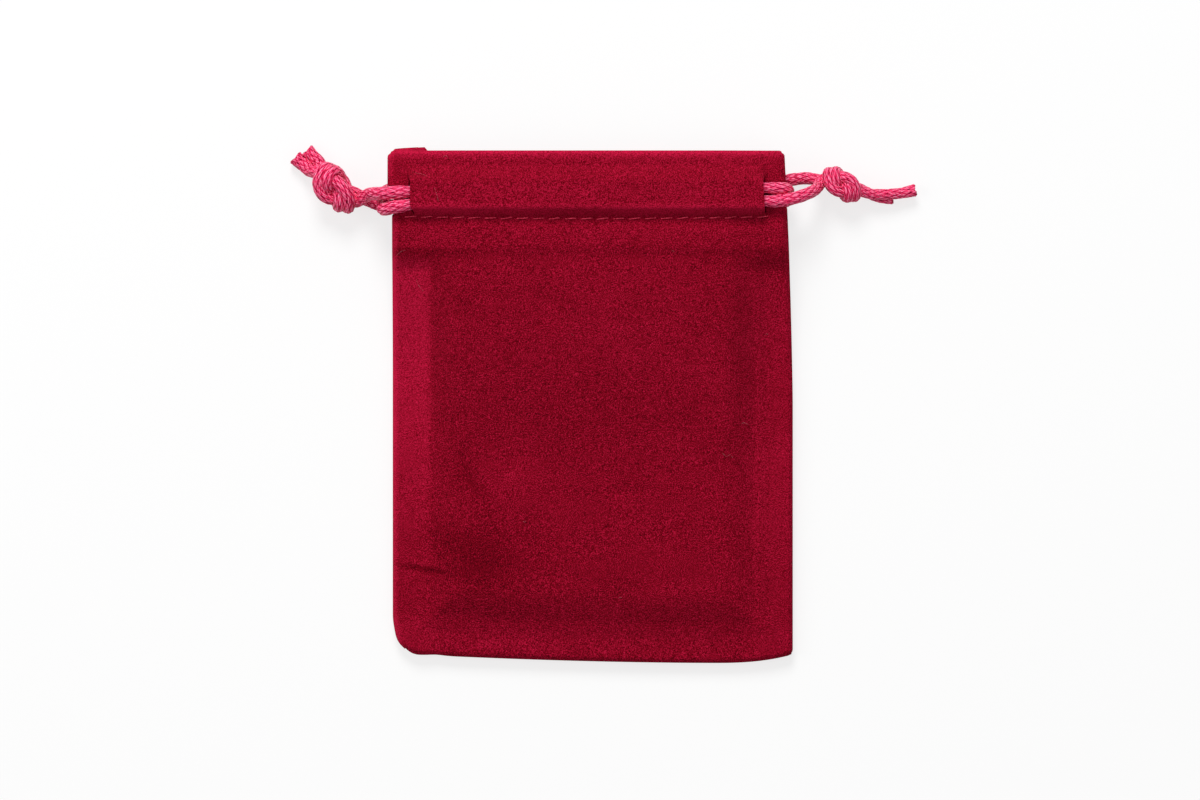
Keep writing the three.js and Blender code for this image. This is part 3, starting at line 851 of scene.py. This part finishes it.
def painted_light_and_shade_of(x, y):
    """Painted light and shade on the pile: over the seam allowances, the hem, the ridge, the valley and
    the creases, with the random tone of handling.
    """
    left_in, right_in = x - left_edge(y), right_edge(y) - x
    from_bottom = y - bottom_edge(x)

    # Painted light where the turned-in allowances raise the face at the left, the right, the foot and the
    # left corner.
    below_hem = 1 - smooth(hem_edge_y - 3, hem_edge_y, y)
    left = (1 - smooth(5.8, 7.4, left_in)) * smooth(-42, 12, y) * below_hem
    right = (1 - smooth(6.0, 9.5, right_in)) * (0.12 + 0.22 * bell(y, -14, 10)) * (1 - smooth(20, 27, y))
    foot = (1 - smooth(4.5, 7.0, from_bottom)) * (0.08 + 0.12 * bell(x, -12, 14))
    foot = foot * smooth(0.5, 2, from_bottom)
    corner = 0.2 * (1 - smooth(7, 9, left_in)) * (1 - smooth(6.5, 8, from_bottom))
    total = 0.8 * left + right + foot + corner

    # The casing: painted highlights on its top fold and on the ridge over the cords, and painted light
    # that lifts the shaded valley above the stitches.
    total += 0.3 * smooth(top_corner_y - 5.5, top_corner_y - 0.5, y) * (0.7 + 0.3 * smooth(-20, 30, x))
    total += 0.2 * bell(y, slit_low + 4.0, 2.0)
    total += 1.0 * bell(y, top_corner_y, 1.0)
    valley = 0.85 + 0.2 * smooth(-14, -22, x) - 0.25 * bell(x, -2, 8)
    total += valley * bell(y, stitch_line(x) + 1.3, 1.0)
    total += 0.06 * smooth(stitch_y + 2, stitch_y + 4, y)

    # Painted light over the hem under the face, a painted shadow line along its raw edge, and a little
    # painted light on the body below it.
    total += 0.15 * (1 - smooth(5, 9, right_in)) * bell(y, 14, 9)
    total += 0.12 * bell(y, stitch_y - 2.6, 2.0)
    total -= 0.4 * bell(y, hem_edge_y - 0.7, 0.9) * (0.35 + 0.65 * (1 - smooth(-29, -18, x)))
    total += 0.10 * bell(x, 0, 26) * bell(y, 17, 14)

    # Painted shade and light of the creases, the random tone of handling, and a painted sheen along the
    # left edge.
    # Painted shade and light of the creases and patches.
    total += crease_sum(x, y, crease_painted_shade)
    total += 0.14 * uneven(x, y, 7) + 0.12 * uneven(x * 2.2, y * 2.2, 8)
    total += 0.9 * (1 - smooth(0.2, 1.3, left_in)) * (1 - slit_band(y))
    return total


# Short-pile velvet, woven and cut: dark to bright with the painted light and shade kept on the panels,
# with a fine salt of lighter tuft tips about 0.18 mm apart, in clumps of about 0.9 mm.
velvet = new_material("crimson_cut_velvet")
place = add_node(velvet, "ShaderNodeTexCoord").outputs["Object"]
# The painted light and shade kept on the panels, read here and added to the tufts' grain.
shade = add_node(velvet, "ShaderNodeAttribute", {"attribute_name": "pile_painted_light_and_shade"}).outputs["Fac"]
tufts = add_node(velvet, "ShaderNodeTexNoise", {
    "Scale": 5600.0, "Detail": 2.0, "Roughness": 0.7,
}, Vector=place)
clumps = add_node(velvet, "ShaderNodeTexNoise", {
    "Scale": 1100.0, "Detail": 2.0, "Roughness": 0.6,
}, Vector=place)
tuft_part = add_node(velvet, "ShaderNodeMapRange", {
    "From Min": 0.3, "From Max": 0.7, "To Min": -1.8, "To Max": 1.8,
}, Value=tufts.outputs["Fac"]).outputs["Result"]
clump_part = add_node(velvet, "ShaderNodeMapRange", {
    "From Min": 0.3, "From Max": 0.7, "To Min": -0.1, "To Max": 0.1,
}, Value=clumps.outputs["Fac"]).outputs["Result"]
grain = add_node(velvet, "ShaderNodeMath", {"operation": "ADD"}, at0=tuft_part, at1=clump_part)
lightness = add_node(velvet, "ShaderNodeMath", {"operation": "ADD"}, at0=grain.outputs[0], at1=shade)
pile_range = add_node(velvet, "ShaderNodeMapRange", {
    "From Min": -1.4, "From Max": 1.6,
}, Value=lightness.outputs[0])
pile_ramp = add_node(velvet, "ShaderNodeValToRGB", {}, Fac=pile_range.outputs["Result"])
pile_ramp.color_ramp.elements[0].position = 0.0
pile_ramp.color_ramp.elements[0].color = linear("#3c000a")
pile_ramp.color_ramp.elements[1].position = 1.0
pile_ramp.color_ramp.elements[1].color = linear("#c41840")
pile_ramp.color_ramp.elements.new(0.47).color = linear("#7c0416")
pile_bump = add_node(velvet, "ShaderNodeBump", {
    "Strength": 0.5, "Distance": 0.12 * mm,
}, Height=tufts.outputs["Fac"])
pile = add_node(velvet, "ShaderNodeBsdfPrincipled", {
    "Roughness": 0.95, "Specular IOR Level": 0.03, "Sheen Weight": 0.12, "Sheen Roughness": 0.45,
    "Sheen Tint": linear("#ff4068"),
}, Base_Color=pile_ramp.outputs["Color"], Normal=pile_bump.outputs["Normal"])
add_node(velvet, "ShaderNodeOutputMaterial", {}, Surface=pile.outputs["BSDF"])

for name, side, cad_node in (
    ("velvet_front_panel", 1, "front_panel"),
    ("velvet_back_panel", -1, "back_panel"),
):
    piece, points, pile_count = velvet_panel(name, side)
    # The pile side carries the painted light and shade; the wrong side gets none.
    pile_painted_light_and_shade = painted_light_and_shade_of(points[:, 0], points[:, 1])
    pile_painted_light_and_shade[pile_count:] = 0
    write_values(piece, "pile_painted_light_and_shade", pile_painted_light_and_shade)
    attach(piece, "pouch")
    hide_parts(cad_node)
    piece.data.materials.append(velvet)


# Casing stitching: one polyester thread for each row, in stitches of 2.8 mm. Each stitch lies
# on the pile for 2 mm, a little askew, and dips through the cloth between two holes.
thread_radius = 0.12
stitch_pitch = 2.8
stitch_inset = 2.2
stitch_end_inset = 0.8
stitch_askew = 0.08
thread_sides = 8
thread_step = 0.12
thread_twist = 0.9
stitch_shape = (
    # share of the pitch, height over the pile, side of the line
    (0.0, -0.5, -1.0), (0.06, 0.0, -1.0), (0.2, 0.14, -0.7), (0.4, 0.18, 0.0),
    (0.58, 0.14, 0.7), (0.7, 0.0, 1.0), (0.78, -0.5, 1.0), (0.9, -0.62, 0.0),
)


def thread_tube(path, radius, sides):
    """The points and faces of a closed thin tube with a slight twist."""
    _, grid_run, grid_turn, outward = tube_grid(path, sides)
    radii = radius * (0.86 + 0.2 * np.abs(np.sin(grid_turn + 2 * math.pi * grid_run / thread_twist)))
    points = (path[:, None] + outward * radii[..., None]).reshape(-1, 3)
    return np.vstack([points, path[0], path[-1]]), tube_faces(len(path), sides)


def face_height(side, x, y):
    """The height of a panel's pile at a point."""
    x, y = np.array(x, float), np.array(y, float)
    raised = standoff(x, y) * inboard(x, y) + face_relief(side, x, y)
    return float(level(side, x, y) + side * (outer_face + raised))


# Spun polyester sewing thread: matt, a lighter red than the pile it lies on, with fibres that
# show as flecks of about 0.25 mm.
thread = new_material("spun_polyester_thread")
place = add_node(thread, "ShaderNodeTexCoord").outputs["Object"]
fibres = add_node(thread, "ShaderNodeTexNoise", {"Scale": 4200.0, "Detail": 2.0}, Vector=place)
thread_ramp = add_node(thread, "ShaderNodeValToRGB", {}, Fac=fibres.outputs["Fac"])
thread_ramp.color_ramp.elements[0].position = 0.35
thread_ramp.color_ramp.elements[0].color = linear("#a8122e")
thread_ramp.color_ramp.elements[1].position = 0.65
thread_ramp.color_ramp.elements[1].color = linear("#ee4462")
fibre_bump = add_node(thread, "ShaderNodeBump", {
    "Strength": 0.4, "Distance": 0.05 * mm,
}, Height=fibres.outputs["Fac"])
spun = add_node(thread, "ShaderNodeBsdfPrincipled", {
    "Roughness": 0.8, "Specular IOR Level": 0.1,
}, Base_Color=thread_ramp.outputs["Color"], Normal=fibre_bump.outputs["Normal"])
add_node(thread, "ShaderNodeOutputMaterial", {}, Surface=spun.outputs["BSDF"])

for side, cad_node in ((1, "front_casing_stitching"), (-1, "back_casing_stitching")):
    start = float(left_edge(np.array(stitch_y))) + stitch_inset
    stop = float(right_edge(np.array(stitch_y))) - stitch_end_inset
    points = []
    for i in range(int((stop - start) / stitch_pitch)):
        x = start + i * stitch_pitch
        askew = stitch_askew * (1 + 0.5 * math.sin(2.3 * i))
        for share, height, off in stitch_shape:
            px = x + share * stitch_pitch
            py = float(stitch_line(px)) + off * askew
            points.append([px, py, face_height(side, px, py) + side * height])
    tube, faces = thread_tube(resampled(points, thread_step), thread_radius, thread_sides)
    piece = mesh_piece(cad_node.replace("stitching", "stitches"), tube, faces)
    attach(piece, "pouch")
    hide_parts(cad_node)
    piece.data.materials.append(thread)


# Side and bottom seam: the same thread, drawn tight in the groove between the two folded edges,
# down the left side, along the foot and up the right side.
seam_depth = 0.35
seam_thread_radius = 0.14
seam_thread_step = 0.3
seam_start = 1.5
seam_foot_end = 35.2
seam_points = 150
closest_points = 0.05
side_y = np.linspace(top_corner_y - seam_start, bottom_y + outer_face, seam_points)
fold_middle = outer_face + fold_radius(side_y) - seam_depth
foot_x = np.linspace(-seam_foot_end, seam_foot_end, seam_points)
seam_x = np.r_[left_edge(side_y) + fold_middle, foot_x, (right_edge(side_y) - fold_middle)[::-1]]
seam_y = np.r_[side_y, bottom_edge(foot_x) + outer_face - seam_depth, side_y[::-1]]
seam_heights = np.r_[seam_z(side_y), np.full(seam_points, body_seam_z), seam_z(side_y)[::-1]]
foot_y = bottom_edge(seam_x) + outer_face - seam_depth
groove_left = left_edge(seam_y) + outer_face - seam_depth
groove_right = right_edge(seam_y) - outer_face + seam_depth
seam_x = np.clip(seam_x, groove_left, groove_right)
seam_x, seam_y = round_corner(seam_x, np.maximum(seam_y, foot_y))
seam_path = np.stack([seam_x, seam_y, seam_heights], axis=1)
apart = np.r_[True, np.linalg.norm(np.diff(seam_path, axis=0), axis=1) > closest_points]
seam_path = resampled(seam_path[apart], seam_thread_step)
tube, faces = thread_tube(seam_path, seam_thread_radius, thread_sides)
seam = mesh_piece("side_and_bottom_seam", tube, faces)
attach(seam, "pouch")
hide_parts("side_and_bottom_seam_thread")
seam.data.materials.append(thread)


# Lint and hairs that cling to the pile: pale cotton fibres, 0.044 mm thick, shed by other cloth,
# lying loose on the front face.
lint_fibres = (
    # points in millimetres, seen from above
    ((26.5, -3.2), (27.0, -3.0), (27.7, -3.4)),
    ((23.1, -8.3), (23.8, -8.9), (24.5, -8.6), (24.9, -9.1)),
    ((-31.1, 40.8), (-28.7, 40.1), (-27.2, 37.9), (-26.6, 35.8), (-26.4, 34.0)),
    ((-30.5, 22.3), (-30.2, 21.2), (-29.3, 20.0)),
    ((-34.0, 26.2), (-33.2, 26.9), (-32.4, 27.2)),
    ((-25.8, 43.4), (-25.3, 43.7), (-24.9, 43.3)),
    ((-3.4, 12.6), (-3.1, 12.4), (-3.0, 12.2)),
    ((14.2, 27.0), (14.5, 27.1), (14.6, 26.8)),
    ((-11.8, -20.3), (-11.5, -20.5), (-11.4, -20.2)),
    ((30.6, 12.4), (30.9, 12.6), (31.2, 12.5)),
    ((4.9, -33.8), (5.2, -33.6), (5.5, -33.7)),
)
lint_radius = 0.022
lint_sides = 6
lint_step = 0.1

# Cotton lint: matt and pale, tinted pink by painted light from the pile under it, patchy every 0.3 mm.
cotton = new_material("pale_cotton_lint")
place = add_node(cotton, "ShaderNodeTexCoord").outputs["Object"]
fuzz = add_node(cotton, "ShaderNodeTexNoise", {"Scale": 3000.0, "Detail": 1.0}, Vector=place)
cotton_ramp = add_node(cotton, "ShaderNodeValToRGB", {}, Fac=fuzz.outputs["Fac"])
cotton_ramp.color_ramp.elements[0].position = 0.3
cotton_ramp.color_ramp.elements[0].color = linear("#8a2434")
cotton_ramp.color_ramp.elements[1].position = 0.7
cotton_ramp.color_ramp.elements[1].color = linear("#cc7480")
fluff = add_node(cotton, "ShaderNodeBsdfPrincipled", {
    "Roughness": 0.9, "Specular IOR Level": 0.1,
}, Base_Color=cotton_ramp.outputs["Color"])
add_node(cotton, "ShaderNodeOutputMaterial", {}, Surface=fluff.outputs["BSDF"])

lint_points, lint_faces = [], []
for fibre in lint_fibres:
    points = [[x, y, face_height(1, x, y) + 1.5 * lint_radius] for x, y in fibre]
    tube, faces = thread_tube(resampled(points, lint_step), lint_radius, lint_sides)
    start = sum(len(part) for part in lint_points)
    lint_points.append(tube)
    lint_faces += [tuple(start + corner for corner in face) for face in faces]
lint = mesh_piece("clinging_lint", np.vstack(lint_points), lint_faces)
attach(lint, "pouch")
lint.data.materials.append(cotton)


# Floor: a plain white sheet that keeps a faint shadow. It is partly white light to the camera
# alone, so that it looks as pale as the photograph's ground and adds no light to the pouch.
floor_size = 4.0
floor_gap = 0.02 * mm
floor_whitening = 0.75
bpy.ops.object.select_all(action="DESELECT")
bpy.ops.mesh.primitive_plane_add(size=floor_size, location=(0, 0, -floor_gap))
floor = bpy.context.object
floor.name = "pale_floor"
bpy.ops.object.transform_apply(location=True, rotation=True, scale=True)
paper = new_material("white_floor")
matt = add_node(paper, "ShaderNodeBsdfPrincipled", {
    "Base Color": linear("#fcfcfc"), "Roughness": 0.9, "Specular IOR Level": 0.1,
})
blank = add_node(paper, "ShaderNodeEmission", {"Color": linear("#ffffff"), "Strength": 1.0})
seen = add_node(paper, "ShaderNodeLightPath").outputs["Is Camera Ray"]
seen_share = add_node(paper, "ShaderNodeMath", {"operation": "MULTIPLY"}, at0=seen)
seen_share.inputs[1].default_value = floor_whitening
paler = add_node(
    paper, "ShaderNodeMixShader", {}, at0=seen_share.outputs[0], at1=matt.outputs["BSDF"],
    at2=blank.outputs["Emission"],
)
add_node(paper, "ShaderNodeOutputMaterial", {}, Surface=paler.outputs["Shader"])
floor.data.materials.append(paper)

# Light: a large soft lamp from beyond the mouth, a weaker one from the left, and a pale room.
lamps = (
    # name, place in metres, size in metres, power in watts
    ("window_lamp", (-0.1, 0.8, 0.8), 0.5, 10.0),
    ("side_lamp", (-0.8, 0.1, 0.8), 0.8, 2.6),
    ("fill_lamp", (0.5, -0.4, 1.1), 1.0, 1.4),
)
for name, spot, size, power in lamps:
    bpy.ops.object.select_all(action="DESELECT")
    bpy.ops.object.light_add(type="AREA", location=spot)
    lamp = bpy.context.object
    lamp.name = name
    lamp.data.shape = "DISK"
    lamp.data.size = size
    lamp.data.energy = power
    aim = -np.array(spot)
    tilt = math.acos(-aim[2] / np.linalg.norm(aim))
    lamp.rotation_euler = (tilt, 0, math.atan2(aim[1], aim[0]) - math.pi / 2)

# The room lights the pouch dimly from all round, and the camera sees plain white past the floor.
world = bpy.data.worlds.new("pale_room")
world.use_nodes = True
world.node_tree.nodes.clear()
bpy.context.scene.world = world
room = add_node(world, "ShaderNodeBackground", {"Color": linear("#ffffff"), "Strength": 0.25})
backdrop = add_node(world, "ShaderNodeBackground", {"Color": linear("#ffffff"), "Strength": 1.0})
seen = add_node(world, "ShaderNodeLightPath").outputs["Is Camera Ray"]
chosen = add_node(
    world, "ShaderNodeMixShader", {}, at0=seen, at1=room.outputs[0], at2=backdrop.outputs[0],
)
add_node(world, "ShaderNodeOutputWorld", {}, Surface=chosen.outputs[0])

bpy.context.scene.view_settings.view_transform = "Standard"
